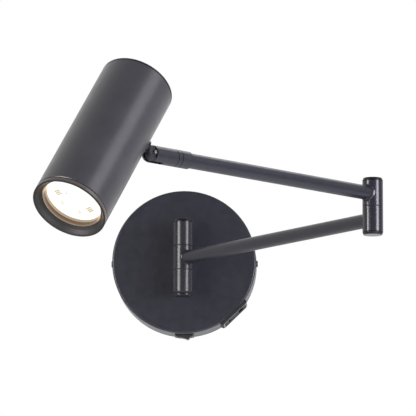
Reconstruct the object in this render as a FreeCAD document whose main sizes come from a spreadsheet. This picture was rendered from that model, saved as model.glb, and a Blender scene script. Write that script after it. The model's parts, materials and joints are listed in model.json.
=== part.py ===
import FreeCAD, Part
import math
import os
import re
import Sketcher

# Swing arm wall lamp: a round wall plate with a switch and two USB sockets, two arms on
# barrel hinges, and a tube spotlight on a swivel sleeve with a forked knuckle.
# The wall is the plane Y = 0, the room is on its -Y side, +Z is up, and the origin is the
# centre of the wall plate on the wall. Lengths are in millimetres, angles in degrees.
# The arms stand as a user has swung them, and every joint turns from there.

SIZES = {
    # Clearances
    "fit_gap": 0.05,            # round seats of fixed pieces, on the radius
    "running_gap": 0.05,        # turning pieces, on the radius
    "face_gap": 0.1,            # between faces that turn past each other
    "seat_gap": 0.1,            # flat seats beside curved walls
    "overrun": 1.0,             # how far a cut runs past the surface

    # Canopy, the steel cup that covers the wall box
    "canopy_radius": 60.0,
    "canopy_depth": 28.0,
    "canopy_wall": 1.2,
    "canopy_edge": 1.6,         # rounded front edge
    "screw_depth": 14.0,        # side screws and switch, from the wall

    # Barrel hinge on the canopy
    "barrel_radius": 8.0,
    "barrel_gap": 12.5,         # from the canopy's face to the back of the barrel
    "segment_length": 19.6,
    "seam_gap": 0.4,            # dark line between two segments
    "segment_bevel": 0.2,
    "cap_thickness": 2.4,
    "cap_edge": 0.9,            # bevelled rim of a cap
    "cap_plug": 3.6,            # spigot of a cap inside the bore
    "washer_radius": 7.6,
    "pivot_radius": 4.0,
    "pivot_wall": 1.2,
    "window_height": 5.0,       # side windows of a hollow pivot, for the leads
    "socket_floor": 4.7,        # blind sockets in a barrel, from its axis
    "lead_hole": 2.2,           # radius of the holes that the leads run through
    "spot_radius": 6.1,         # milled ring round an arm's socket
    "spot_floor": 5.75,

    # Two posts between canopy and barrel
    "post_radius": 5.0,
    "post_thread": 4.0,
    "post_nut_flats": 13.0,
    "post_nut_height": 5.0,
    "thread_stand": 1.5,        # thread that shows past a nut

    # Arms
    "lower_arm": 250.0,         # wall barrel axis to elbow axis
    "upper_arm": 240.0,         # elbow axis to the knuckle's screw
    "tube_radius": 5.55,
    "tube_wall": 1.0,
    "wall_turn": 51.7,          # lower arm, turned towards the room from +X
    "elbow_turn": 47.5,         # upper arm, turned towards the room from -X

    # Swivel sleeve, measured from the knuckle's screw back along the arm
    "sleeve_radius": 6.45,
    "nose_round": 5.8,
    "flat_end": 0.9,
    "flat_depth": 4.3,          # milled cheeks, from the sleeve's middle plane
    "slot_half": 2.1,
    "slot_floor": 10.0,
    "nipple_start": 15.0,
    "fork_end": 23.0,
    "ring_seam": 0.3,
    "ring_length": 4.0,
    "collar_length": 10.7,
    "collar_web": 4.2,          # tapped web between nipple and tube
    "collar_bevel": 1.1,
    "nipple_radius": 3.5,
    "swivel_roll": 7.5,         # head, turned about the arm
    "head_tilt": 37.7,          # head, tipped up from square to the arm

    # Knuckle screw
    "tilt_shank": 1.1,
    "tilt_head_radius": 1.6,
    "tilt_head_height": 1.4,
    "tilt_pocket_gap": 0.15,    # round the screw's head and nut, in the shoulders behind the cheeks
    "tilt_nut_flats": 5.0,
    "tilt_nut_height": 1.7,
    "small_slot": 0.7,          # screwdriver slots
    "small_slot_depth": 0.8,

    # Tongue, flange and hollow stud that carry the shade
    "eye_radius": 5.2,
    "tongue_half": 2.0,
    "neck_half": 3.2,
    "flange_radius": 6.0,
    "flange_start": 6.9,
    "hinge_offset": 9.5,        # knuckle screw to the shade's wall
    "stud_radius": 4.0,
    "stud_bore": 2.2,
    "stud_nut_height": 3.6,

    # Shade
    "shade_radius": 27.5,
    "shade_wall": 1.2,
    "shade_length": 129.0,
    "stud_place_share": 0.443,  # stud, in the room from the lamp holder to the closed end
    "end_thickness": 1.6,
    "end_edge": 0.3,
    "end_spigot": 5.0,
    "end_spigot_wall": 1.5,
    "ring_face": 3.9,           # front ring that shows beyond the tube
    "front_seam": 0.3,
    "ring_lip_radius": 22.7,
    "ring_lip_depth": 5.2,
    "ring_lip_thickness": 0.8,
    "ring_rim": 1.1,            # flat front rim
    "ring_edge": 0.3,
    "ring_spigot": 11.0,
    "ring_spigot_wall": 0.8,

    # Reflector lamp with two locking pins
    "bulb_radius": 25.0,
    "bulb_rim": 6.0,
    "bulb_length": 46.0,
    "bulb_base_radius": 13.0,
    "bulb_base_length": 9.0,
    "lens_radius": 21.8,
    "lens_set_back": 4.9,       # behind the lamp's rim
    "lens_thickness": 1.5,
    "pin_spacing": 10.0,
    "pin_radius": 1.4,
    "pin_head_radius": 2.4,
    "pin_head_length": 2.0,
    "pin_length": 7.0,

    # Lamp holder and its strip
    "holder_radius": 12.5,
    "holder_length": 13.5,
    "holder_pocket": 8.5,
    "holder_screw": 1.5,
    "holder_screw_length": 6.0,
    "holder_screw_offset": 7.0,
    "holder_head_radius": 2.75,
    "holder_head_height": 1.8,
    "strip_width": 14.0,
    "strip_thickness": 1.0,
    "strip_overhang": 7.0,

    # Wall bracket
    "bracket_thickness": 2.0,
    "bracket_width": 14.0,
    "bracket_bend": 1.5,
    "bracket_disc": 15.0,
    "ear_height": 18.5,
    "cable_hole": 9.0,
    "fixing_spacing": 70.0,
    "fixing_slot_half": 2.25,
    "fixing_slot_length": 12.0,
    "tab_half": 16.0,
    "tab_reach": 33.0,
    "side_screw": 2.0,
    "side_screw_head": 2.75,
    "side_screw_head_height": 1.2,
    "side_screw_dome": 0.4,
    "earth_place": 11.0,
    "earth_drop": 12.5,
    "earth_screw": 1.9,
    "earth_head": 3.6,
    "earth_head_height": 2.4,

    # Terminal block
    "terminal_length": 27.0,
    "terminal_width": 14.0,
    "terminal_height": 13.0,
    "terminal_pitch": 9.0,
    "terminal_place": 24.0,
    "terminal_entry": 1.8,
    "terminal_well": 2.3,
    "terminal_well_depth": 6.0,

    # USB power supply
    "supply_length": 40.0,
    "supply_height": 18.0,
    "supply_gap": 3.9,          # to the upper post's nut and to the skirt
    "supply_edge": 1.5,

    # USB module in its notch
    "usb_turn": 45.8,           # below +X
    "notch_width": 28.8,
    "notch_strip": 4.5,         # skirt left behind the notch
    "module_stand": 2.65,       # outer face, beyond the notch's chord
    "module_depth": 16.9,
    "module_wall": 1.5,
    "module_corner": 1.6,
    "usb_a_place": 6.4,
    "usb_c_place": 6.2,
    "usb_a_long": 13.1,
    "usb_a_short": 5.7,
    "usb_a_wall": 0.4,
    "usb_a_tongue_long": 11.1,
    "usb_a_tongue_short": 1.8,
    "usb_c_long": 9.0,
    "usb_c_short": 3.3,
    "usb_c_wall": 0.35,
    "usb_c_tongue_long": 6.7,
    "usb_c_tongue_short": 0.8,
    "usb_set_back": 0.2,        # shells, behind the module's face
    "usb_tongue_set_back": 1.2,
    "usb_base": 3.0,
    "board_thickness": 1.6,

    # Rocker switch
    "bezel_length": 15.0,
    "bezel_width": 10.5,
    "bezel_height": 1.6,
    "bezel_corner": 1.2,
    "switch_length": 13.2,
    "switch_width": 8.8,
    "switch_depth": 11.0,
    "cavity_length": 12.2,
    "cavity_width": 7.6,
    "cavity_depth": 5.2,
    "rocker_pivot": 1.2,        # below the skirt
    "rocker_radius": 5.9,
    "rocker_corner_height": 4.4,
    "rocker_dip": 3.3,
    "rocker_foot": 1.6,
    "rocker_tilt": 12.0,
    "trunnion_radius": 0.9,
    "trunnion_length": 0.35,
    "blade_width": 4.0,
    "blade_thickness": 0.7,
    "blade_length": 7.0,
    "blade_place": 3.6,
}

# Sizes that follow from the ones above
DERIVED = {
    "pitch": "segment_length + seam_gap",
    "barrel_depth": "canopy_depth + barrel_gap + barrel_radius",
    "bore": "pivot_radius + fit_gap",
    "canopy_inside": "canopy_radius - canopy_wall",
    "canopy_ceiling": "canopy_depth - canopy_wall",
    "supply_top": "sqrt(canopy_inside ^ 2 - (supply_length / 2) ^ 2) - supply_gap",
    "supply_bottom": "pitch + post_nut_flats / 2 + supply_gap",
    "ear_outside": "sqrt(canopy_inside ^ 2 - (bracket_width / 2) ^ 2) - seat_gap",
    "ring_start": "fork_end + ring_seam",
    "collar_start": "ring_start + ring_length + ring_seam",
    "collar_end": "collar_start + collar_length",
    "tube_stop": "collar_start + collar_web",
    "shade_inside": "shade_radius - shade_wall",
    "shade_axis": "hinge_offset + shade_radius",
    "lip_back": "ring_lip_depth + ring_lip_thickness",
    "bulb_front": "lip_back + seat_gap",
    "bulb_back": "bulb_front + bulb_length",
    "holder_front": "bulb_back + seat_gap",
    "holder_back": "holder_front + holder_length",
    "holder_seat": "holder_back + strip_thickness",
    "rim": "holder_seat + (shade_length - holder_seat) * stud_place_share",
    "mount_from_end": "shade_length - rim",
    "strip_face": "sqrt(shade_inside ^ 2 - (strip_width / 2) ^ 2) - seat_gap",
    "stud_nut_seat": "shade_axis - strip_face + strip_thickness",
    "stud_end": "stud_nut_seat + stud_nut_height + thread_stand",
    "notch_chord": "sqrt(canopy_radius ^ 2 - (notch_width / 2) ^ 2)",
    "notch_root": "sqrt(canopy_inside ^ 2 - (notch_width / 2) ^ 2) - seat_gap",
    "module_face": "notch_chord + module_stand",
    "module_back": "module_face - module_depth",
    "module_half": "notch_width / 2 - seat_gap",
    "module_bottom": "notch_strip + seat_gap",
    "module_top": "canopy_ceiling - seat_gap",
    "module_middle": "(module_bottom + canopy_depth) / 2",
    "board_back": "module_back + board_thickness",
    "rocker_corner": "sqrt(rocker_radius ^ 2 - rocker_corner_height ^ 2)",
}

DOC = FreeCAD.newDocument("SwingArmWallLamp")
SHEET = DOC.addObject("Spreadsheet::Sheet", "Sizes")
PIECES = []


def fill_sheet():
    """One row for each driving size: its name and its value, with the name as alias."""
    for row, (word, value) in enumerate(SIZES.items(), 1):
        SHEET.set(f"A{row}", word)
        SHEET.set(f"B{row}", str(value))
        SHEET.setAlias(f"B{row}", word)
    DOC.recompute()


def spelled(words):
    """The same sum, written with the sheet's cells only."""
    def swap(found):
        word = found.group(0)
        if word in DERIVED:
            return "(" + spelled(DERIVED[word]) + ")"
        if word in SIZES:
            return "Sizes." + word
        return word
    return re.sub(r"[a-z][a-z0-9_]*", swap, words)


def value(words):
    """The number that a sum of sizes comes to."""
    return float(SHEET.evalExpression(spelled(words)))


# Sketches

def new_body(label):
    """An empty body, kept as one piece of the lamp."""
    body = DOC.addObject("PartDesign::Body", label)
    body.Label = label
    PIECES.append(body)
    return body


def sketch_on(body, role, offset="0", turn="0"):
    """A sketch on one of the body's own planes, shifted along the plane's normal."""
    sketch = body.newObject("Sketcher::SketchObject", "Sketch")
    plane = next(each for each in body.Origin.OriginFeatures if each.Role == role)
    sketch.AttachmentSupport = [(plane, "")]
    sketch.MapMode = "FlatFace"
    if offset != "0":
        sketch.setExpression("AttachmentOffset.Base.z", spelled(offset))
    if turn != "0":
        sketch.setExpression("AttachmentOffset.Rotation.Angle", spelled(turn))
    return sketch


def tie(sketch, kind, first, second, words):
    """A driving distance from the sketch's origin to a point, bound to the sheet."""
    index = sketch.addConstraint(Sketcher.Constraint(kind, -1, 1, first, second, value(words)))
    if words != "0":
        sketch.setExpression(f"Constraints[{index}]", spelled(words))


def polygon(sketch, corners):
    """A closed outline of straight edges."""
    start = sketch.GeometryCount
    points = [FreeCAD.Vector(value(x), value(y)) for x, y in corners]
    for first, last in zip(points, points[1:] + points[:1]):
        sketch.addGeometry(Part.LineSegment(first, last), False)
    for index in range(len(corners)):
        following = (index + 1) % len(corners)
        sketch.addConstraint(Sketcher.Constraint("Coincident", start + index, 2, start + following, 1))
    for index, (x, y) in enumerate(corners):
        tie(sketch, "DistanceX", start + index, 1, x)
        tie(sketch, "DistanceY", start + index, 1, y)
    return sketch


def rectangle(sketch, left, right, low, high):
    """A rectangle between two places across and two places up."""
    return polygon(sketch, [(left, low), (right, low), (right, high), (left, high)])


def circle(sketch, radius, across="0", up="0"):
    """A circle round a place in the sketch."""
    centre = FreeCAD.Vector(value(across), value(up))
    index = sketch.addGeometry(Part.Circle(centre, FreeCAD.Vector(0, 0, 1), value(radius)), False)
    bound = sketch.addConstraint(Sketcher.Constraint("Radius", index, value(radius)))
    sketch.setExpression(f"Constraints[{bound}]", spelled(radius))
    tie(sketch, "DistanceX", index, 3, across)
    tie(sketch, "DistanceY", index, 3, up)
    return sketch


def pill(sketch, long, short, across="0", up="0", upright=False):
    """A slot with round ends, long one way and short the other."""
    reach = value(long) / 2 - value(short) / 2
    radius = value(short) / 2
    middle = FreeCAD.Vector(value(across), value(up))
    along = FreeCAD.Vector(0, 1) if upright else FreeCAD.Vector(1, 0)
    side = FreeCAD.Vector(along.y, along.x)
    start = sketch.GeometryCount
    for sign in (1, -1):
        centre = middle + along * reach * sign
        arc = Part.Arc(centre + side * radius, centre + along * radius * sign, centre - side * radius)
        sketch.addGeometry(arc, False)
    for sign in (1, -1):
        shift = side * radius * sign
        near, far = (middle + along * way * reach + shift for way in (-1, 1))
        sketch.addGeometry(Part.LineSegment(near, far), False)
    for arc in (0, 1):
        ends = [sketch.getPoint(start + arc, place) for place in (1, 2)]
        for line in (2, 3):
            for place in (1, 2):
                point = sketch.getPoint(start + line, place)
                for number, end in enumerate(ends, 1):
                    if point.isEqual(end, 1e-6):
                        pair = (start + arc, number, start + line, place)
                        sketch.addConstraint(Sketcher.Constraint("Tangent", *pair))
    bound = sketch.addConstraint(Sketcher.Constraint("Radius", start, radius))
    sketch.setExpression(f"Constraints[{bound}]", spelled(f"({short}) / 2"))
    for arc, sign in ((0, "+"), (1, "-")):
        place = f"{sign} (({long}) - ({short})) / 2"
        if upright:
            tie(sketch, "DistanceX", start + arc, 3, across)
            tie(sketch, "DistanceY", start + arc, 3, f"({up}) {place}")
        else:
            tie(sketch, "DistanceX", start + arc, 3, f"({across}) {place}")
            if arc == 0:
                tie(sketch, "DistanceY", start + arc, 3, up)
    return sketch


def hexagon(sketch, flats, bore):
    """A hexagon nut's outline round its bore."""
    corners = []
    for number in range(6):
        corner = f"({flats}) / 2 / cos(30)"
        corners.append((f"{corner} * cos({60 * number})", f"{corner} * sin({60 * number})"))
    polygon(sketch, corners)
    return circle(sketch, bore)


# Features

def revolve(body, corners):
    """A solid turned about the body's Z axis from a (radius, height) outline."""
    sketch = polygon(sketch_on(body, "XZ_Plane"), corners)
    turned = body.newObject("PartDesign::Revolution", "Revolution")
    turned.Profile = sketch
    turned.ReferenceAxis = (sketch, ["V_Axis"])
    turned.Angle = 360
    DOC.recompute()
    return turned


def pad(body, sketch, length, symmetric=False, back=False):
    """A solid raised from a sketch along its normal, or both ways."""
    raised = body.newObject("PartDesign::Pad", "Pad")
    raised.Profile = sketch
    raised.SideType = "Symmetric" if symmetric else "One side"
    raised.Reversed = back
    raised.setExpression("Length", spelled(length))
    DOC.recompute()
    return raised


def cut(body, sketch, depth="", forward=False):
    """A pocket against the sketch's normal, along it, or through everything both ways."""
    before = body.Shape.Volume
    pocket = body.newObject("PartDesign::Pocket", "Pocket")
    pocket.Profile = sketch
    if depth:
        pocket.Reversed = forward
        pocket.setExpression("Length", spelled(depth))
    else:
        pocket.Type = "ThroughAll"
        pocket.SideType = "Symmetric"
    DOC.recompute()
    if body.Shape.Volume >= before:
        raise RuntimeError(f"{body.Label}: {pocket.Name} cuts nothing")
    return pocket


def same(first, second):
    """Whether two places agree to a thousandth of the seam between two segments."""
    return abs(first - second) < value("seam_gap") / 1000


def round_edges(body, wanted):
    """Names of the circular edges at the given (radius, height) pairs."""
    names = []
    places = [(value(radius), value(height)) for radius, height in wanted]
    for index, edge in enumerate(body.Shape.Edges, 1):
        if not isinstance(edge.Curve, Part.Circle):
            continue
        local = body.Placement.inverse().multVec(edge.Curve.Center)
        if any(same(edge.Curve.Radius, radius) and same(local.z, height) for radius, height in places):
            names.append(f"Edge{index}")
    return names


def upright_edges(body, outside):
    """Names of the straight edges along Z whose distance from the Z axis passes a size."""
    names = []
    for index, edge in enumerate(body.Shape.Edges, 1):
        if not isinstance(edge.Curve, Part.Line):
            continue
        first, last = (vertex.Point for vertex in edge.Vertexes)
        flat = FreeCAD.Vector(first.x, first.y)
        if same(first.x, last.x) and same(first.y, last.y) and flat.Length > value(outside):
            names.append(f"Edge{index}")
    return names


def soften(body, names, size, kind="Fillet"):
    """A fillet or a chamfer along named edges."""
    if not names:
        raise RuntimeError(f"{body.Label}: no edge to soften")
    feature = body.newObject(f"PartDesign::{kind}", kind)
    feature.Base = (body.Tip if body.Tip != feature else feature.BaseFeature, names)
    feature.setExpression("Radius" if kind == "Fillet" else "Size", spelled(size))
    DOC.recompute()
    return feature


# Places

def turned(axis, angle):
    """A turn about an axis through the origin."""
    return FreeCAD.Placement(FreeCAD.Vector(), FreeCAD.Rotation(axis, angle))


def moved(x=0.0, y=0.0, z=0.0):
    """A shift."""
    return FreeCAD.Placement(FreeCAD.Vector(x, y, z), FreeCAD.Rotation())


X_AXIS = FreeCAD.Vector(1, 0, 0)
Y_AXIS = FreeCAD.Vector(0, 1, 0)
Z_AXIS = FreeCAD.Vector(0, 0, 1)


def place_frames():
    """The places that the pieces are set in, from the wall out to the head."""
    frames = {}
    # Local z runs out from the wall and local y runs up
    frames["wall"] = turned(X_AXIS, 90)
    frames["upper_post"] = frames["wall"] * moved(y=value("pitch"))
    frames["lower_post"] = frames["wall"] * moved(y=-value("pitch"))
    frames["module"] = frames["wall"] * turned(Z_AXIS, -value("usb_turn"))
    # Local z runs down out of the skirt and local y runs out from the wall
    frames["switch"] = moved(y=-value("screw_depth"), z=-value("canopy_radius")) * turned(X_AXIS, 180)
    # Local x runs along an arm and local z runs up the barrel
    frames["barrel"] = moved(y=-value("barrel_depth"))
    frames["barrel_back"] = frames["barrel"] * turned(Z_AXIS, 90)
    frames["lower_arm"] = frames["barrel"] * turned(Z_AXIS, -value("wall_turn"))
    frames["elbow"] = frames["lower_arm"] * moved(x=value("lower_arm")) * turned(Z_AXIS, 180)
    bend = value("wall_turn") + value("elbow_turn")
    frames["upper_arm"] = frames["elbow"] * moved(z=value("pitch")) * turned(Z_AXIS, bend)
    arm_end = frames["upper_arm"] * moved(x=value("upper_arm"))
    frames["knuckle"] = arm_end * turned(X_AXIS, value("swivel_roll"))
    # Local z runs back along the sleeve, local y along the knuckle's screw
    frames["sleeve"] = frames["knuckle"] * turned(Y_AXIS, -90)
    frames["screw"] = frames["knuckle"] * turned(X_AXIS, -90)
    # Local x runs from the screw to the shade's axis and local z to its closed end
    frames["head"] = frames["knuckle"] * turned(Y_AXIS, -value("head_tilt"))
    frames["stud"] = frames["head"] * turned(Y_AXIS, 90)
    frames["shade"] = frames["head"] * moved(x=value("shade_axis"))
    # Local z runs from the shade's rim inwards
    frames["rim"] = frames["shade"] * moved(z=-value("rim"))
    return frames


# Wall plate

def make_canopy():
    """Cup with a rounded front edge, post and screw holes, switch window and USB notch."""
    body = new_body("canopy")
    revolve(body, [
        ("canopy_inside", "0"), ("canopy_radius", "0"), ("canopy_radius", "canopy_depth"),
        ("0", "canopy_depth"), ("0", "canopy_ceiling"), ("canopy_inside", "canopy_ceiling")])
    soften(body, round_edges(body, [("canopy_radius", "canopy_depth")]), "canopy_edge")
    for side in ("", "-"):
        holes = circle(sketch_on(body, "XY_Plane"), "post_thread + fit_gap", up=f"{side}(pitch)")
        cut(body, holes)
    cut(body, circle(sketch_on(body, "YZ_Plane"), "side_screw + seat_gap", up="screw_depth"))
    window = sketch_on(body, "XZ_Plane", "canopy_radius + overrun")
    rectangle(
        window, "-switch_length / 2 - seat_gap", "switch_length / 2 + seat_gap",
        "screw_depth - switch_width / 2 - seat_gap", "screw_depth + switch_width / 2 + seat_gap")
    cut(body, window, "overrun + canopy_wall * 2")
    skirt = sketch_on(body, "XY_Plane", "canopy_ceiling", "-usb_turn")
    rectangle(skirt, "notch_root", "canopy_radius + overrun", "-notch_width / 2", "notch_width / 2")
    cut(body, skirt, "canopy_ceiling - notch_strip")
    edge = sketch_on(body, "XY_Plane", "canopy_depth + overrun", "-usb_turn")
    rectangle(edge, "notch_chord", "canopy_radius + overrun", "-notch_width / 2", "notch_width / 2")
    cut(body, edge, "overrun + canopy_wall * 2")
    return body


def make_wall_bracket():
    """Strip with slotted fixing holes, cable hole, two bent ears and a tab for the terminals."""
    body = new_body("wall_bracket")
    strip = sketch_on(body, "XY_Plane")
    rectangle(strip, "-ear_outside", "ear_outside", "-bracket_width / 2", "bracket_width / 2")
    pad(body, strip, "bracket_thickness")
    pad(body, circle(sketch_on(body, "XY_Plane"), "bracket_disc"), "bracket_thickness")
    tab = rectangle(sketch_on(body, "XY_Plane"), "-tab_half", "tab_half", "-tab_reach", "0")
    pad(body, tab, "bracket_thickness")
    for inner, outer in (("-ear_outside", "bracket_thickness - ear_outside"),
                         ("ear_outside - bracket_thickness", "ear_outside")):
        ear = sketch_on(body, "XY_Plane")
        rectangle(ear, inner, outer, "-bracket_width / 2", "bracket_width / 2")
        pad(body, ear, "ear_height")
    bends = []
    for index, edge in enumerate(body.Shape.Edges, 1):
        middle = edge.CenterOfMass
        if same(abs(middle.x), value("ear_outside")) and same(middle.z, 0):
            bends.append(f"Edge{index}")
    soften(body, bends, "bracket_bend")
    cut(body, circle(sketch_on(body, "XY_Plane"), "cable_hole"))
    for side in ("-", ""):
        slot = sketch_on(body, "XY_Plane")
        pill(slot, "fixing_slot_length", "fixing_slot_half * 2", across=f"{side}fixing_spacing / 2")
        cut(body, slot)
    cut(body, circle(sketch_on(body, "XY_Plane"), "earth_screw + fit_gap", "earth_place", "-earth_drop"))
    cut(body, circle(sketch_on(body, "YZ_Plane"), "side_screw + fit_gap", up="screw_depth"))
    return body


def make_slotted_screw(label, shank, head, head_height, length, dome=""):
    """A screw along Z whose head stands above the plane that it bears on."""
    body = new_body(label)
    revolve(body, [
        ("0", f"-({length})"), (shank, f"-({length})"), (shank, "0"),
        (head, "0"), (head, head_height), ("0", head_height)])
    if dome:
        soften(body, round_edges(body, [(head, head_height)]), dome, "Chamfer")
    slot = sketch_on(body, "XY_Plane", f"{head_height} + overrun")
    rectangle(slot, f"-{head} - overrun", f"{head} + overrun", "-small_slot / 2", "small_slot / 2")
    cut(body, slot, "overrun + small_slot_depth")
    return body


def make_tilt_screw():
    """Screw with a plain domed head, and a slot in its tail that holds it while the nut is turned."""
    body = new_body("tilt_screw")
    tail = "flat_depth * 2 + tilt_nut_height"
    revolve(body, [
        ("0", f"-({tail})"), ("tilt_shank", f"-({tail})"), ("tilt_shank", "0"),
        ("tilt_head_radius", "0"), ("tilt_head_radius", "tilt_head_height"), ("0", "tilt_head_height")])
    soften(body, round_edges(body, [("tilt_head_radius", "tilt_head_height")]), "tilt_head_height / 3")
    slot = sketch_on(body, "XY_Plane", f"-({tail}) - overrun")
    rectangle(slot, "-tilt_shank - overrun", "tilt_shank + overrun", "-small_slot / 2", "small_slot / 2")
    cut(body, slot, "overrun + small_slot_depth", forward=True)
    return body


def make_nut(label, flats, bore, height):
    """A plain hexagon nut standing on the XY plane."""
    body = new_body(label)
    pad(body, hexagon(sketch_on(body, "XY_Plane"), flats, bore), height)
    return body


def make_terminal_block():
    """Moulded three-pole block with wire entries and screw wells."""
    body = new_body("terminal_block")
    base = sketch_on(body, "XY_Plane", "bracket_thickness")
    rectangle(
        base, "-terminal_length / 2", "terminal_length / 2",
        "-terminal_place - terminal_width / 2", "terminal_width / 2 - terminal_place")
    pad(body, base, "terminal_height")
    for pole in ("-terminal_pitch", "0", "terminal_pitch"):
        entry = sketch_on(body, "XZ_Plane")
        cut(body, circle(entry, "terminal_entry", pole, "bracket_thickness + terminal_height / 3"))
        well = sketch_on(body, "XY_Plane", "bracket_thickness + terminal_height + overrun")
        circle(well, "terminal_well", pole, "-terminal_place")
        cut(body, well, "overrun + terminal_well_depth")
    return body


def make_terminal_screws():
    """The block's three clamping screws, sunk in their wells."""
    body = new_body("terminal_screws")
    floor = "bracket_thickness + terminal_height - terminal_well_depth"
    discs = sketch_on(body, "XY_Plane", floor)
    for pole in ("-terminal_pitch", "0", "terminal_pitch"):
        circle(discs, "terminal_well - seat_gap", pole, "-terminal_place")
    pad(body, discs, "terminal_well_depth / 2")
    slots = sketch_on(body, "XY_Plane", f"{floor} + terminal_well_depth / 2 + overrun")
    rectangle(
        slots, "-terminal_length", "terminal_length",
        "-terminal_place - small_slot / 2", "small_slot / 2 - terminal_place")
    cut(body, slots, "overrun + small_slot_depth")
    return body


def make_power_supply():
    """Sealed converter box seated against the canopy's ceiling."""
    body = new_body("usb_power_supply")
    base = sketch_on(body, "XY_Plane", "canopy_ceiling")
    rectangle(base, "-supply_length / 2", "supply_length / 2", "supply_bottom", "supply_top")
    pad(body, base, "supply_height", back=True)
    soften(body, upright_edges(body, "0"), "supply_edge")
    return body


def make_post(label):
    """Shouldered hollow post: wide out to the barrel, threaded through the canopy."""
    body = new_body(label)
    foot = "canopy_ceiling - post_nut_height - thread_stand"
    tip = "barrel_depth - socket_floor - fit_gap"
    revolve(body, [
        ("lead_hole", foot), ("post_thread", foot), ("post_thread", "canopy_depth"),
        ("post_radius", "canopy_depth"), ("post_radius", tip), ("lead_hole", tip)])
    return body


def make_segment(label, bore, socket, spot=False):
    """A barrel segment with a blind socket in its side and a lead hole into its bore."""
    body = new_body(label)
    half = "segment_length / 2"
    revolve(body, [(bore, f"-{half}"), ("barrel_radius", f"-{half}"), ("barrel_radius", half), (bore, half)])
    ends = round_edges(body, [("barrel_radius", half), ("barrel_radius", f"-{half}")])
    soften(body, ends, "segment_bevel", "Chamfer")
    start = "barrel_radius + overrun"
    for radius, floor, wanted in (("spot_radius", "spot_floor", spot), (socket, "socket_floor", True),
                                  ("lead_hole", "0", True)):
        if wanted:
            side = circle(sketch_on(body, "YZ_Plane", start), radius)
            cut(body, side, f"{start} - {floor}")
    return body


def make_cap(label):
    """A round cap with a softened rim and a spigot into the bore below it."""
    body = new_body(label)
    plug = "pivot_radius"
    revolve(body, [
        ("0", "-cap_plug"), (plug, "-cap_plug"), (plug, "0"), ("barrel_radius", "0"),
        ("barrel_radius", "cap_thickness"), ("0", "cap_thickness")])
    soften(body, round_edges(body, [("barrel_radius", "cap_thickness")]), "cap_edge", "Chamfer")
    return body


def make_pivot(label, segments, windows):
    """A hollow pivot through a barrel, with side windows for the leads."""
    body = new_body(label)
    half = f"({segments} * segment_length + {segments - 1} * seam_gap) / 2 - cap_plug - face_gap"
    inside = "pivot_radius - pivot_wall"
    revolve(body, [
        (inside, f"-({half})"), ("pivot_radius", f"-({half})"), ("pivot_radius", half), (inside, half)])
    for place in windows:
        window = sketch_on(body, "XZ_Plane")
        low = f"{place} - window_height / 2"
        rectangle(window, "-pivot_radius / 2", "pivot_radius / 2", low, f"{low} + window_height")
        cut(body, window)
    return body


def make_washer(label):
    """A thin ring that shows as the dark seam between two segments."""
    body = new_body(label)
    half = "seam_gap / 2 - face_gap"
    inside = "pivot_radius + running_gap"
    revolve(body, [
        (inside, f"-({half})"), ("washer_radius", f"-({half})"), ("washer_radius", half), (inside, half)])
    return body


# USB module

def module_slots(body, sketch, margin):
    """The outlines of both USB shells, grown by a margin."""
    long_side = f"usb_a_long + 2 * ({margin})"
    short_side = f"usb_a_short + 2 * ({margin})"
    rectangle(
        sketch, f"usb_a_place - ({short_side}) / 2", f"usb_a_place + ({short_side}) / 2",
        f"module_middle - ({long_side}) / 2", f"module_middle + ({long_side}) / 2")
    pill(
        sketch, f"usb_c_long + 2 * ({margin})", f"usb_c_short + 2 * ({margin})",
        across="-usb_c_place", up="module_middle", upright=True)
    return sketch


def make_module_housing():
    """Moulded block in the notch: hollow from behind, with two socket openings in its face."""
    body = new_body("usb_module_housing")
    block = sketch_on(body, "XY_Plane", "module_bottom")
    rectangle(block, "module_back", "module_face", "-module_half", "module_half")
    pad(body, block, "module_top - module_bottom")
    lip = sketch_on(body, "XY_Plane", "module_top")
    rectangle(lip, "notch_chord + seat_gap", "module_face", "-module_half", "module_half")
    pad(body, lip, "canopy_depth - module_top")
    soften(body, upright_edges(body, "module_face"), "module_corner")
    hollow = sketch_on(body, "YZ_Plane", "module_back")
    rectangle(
        hollow, "module_wall - module_half", "module_half - module_wall",
        "module_bottom + module_wall", "module_top - module_wall")
    cut(body, hollow, "module_face - module_wall - module_back", forward=True)
    openings = module_slots(body, sketch_on(body, "YZ_Plane", "module_face + overrun"), "seat_gap")
    cut(body, openings, "overrun + module_wall * 2")
    return body


def make_circuit_board():
    """Board that closes the module's back and carries both sockets."""
    body = new_body("usb_circuit_board")
    board = sketch_on(body, "YZ_Plane", "module_back")
    rectangle(
        board, "module_wall - module_half + seat_gap", "module_half - module_wall - seat_gap",
        "module_bottom + module_wall + seat_gap", "module_top - module_wall - seat_gap")
    pad(body, board, "board_thickness")
    return body


def make_usb_shell(label, outline, wall):
    """A folded metal shell, closed at the board and open at the face."""
    body = new_body(label)
    front = "module_face - usb_set_back"
    pad(body, outline(sketch_on(body, "YZ_Plane", "board_back"), "0"), f"{front} - board_back")
    inside = outline(sketch_on(body, "YZ_Plane", f"{front} + overrun"), f"-{wall}")
    cut(body, inside, f"{front} + overrun - board_back - {wall}")
    return body


def make_usb_tongue(label, outline, wall, thin, wide, place, shift="0"):
    """The moulded core of a socket: a base at the back and the contact tongue."""
    body = new_body(label)
    start = f"board_back + {wall} + seat_gap"
    base = outline(sketch_on(body, "YZ_Plane", start), f"-{wall} - seat_gap")
    pad(body, base, "usb_base")
    tongue = sketch_on(body, "YZ_Plane", start)
    rectangle(
        tongue, f"{place} + {shift} - {thin} / 2", f"{place} + {shift} + {thin} / 2",
        f"module_middle - {wide} / 2", f"module_middle + {wide} / 2")
    pad(body, tongue, f"module_face - usb_tongue_set_back - ({start})")
    return body


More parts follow.
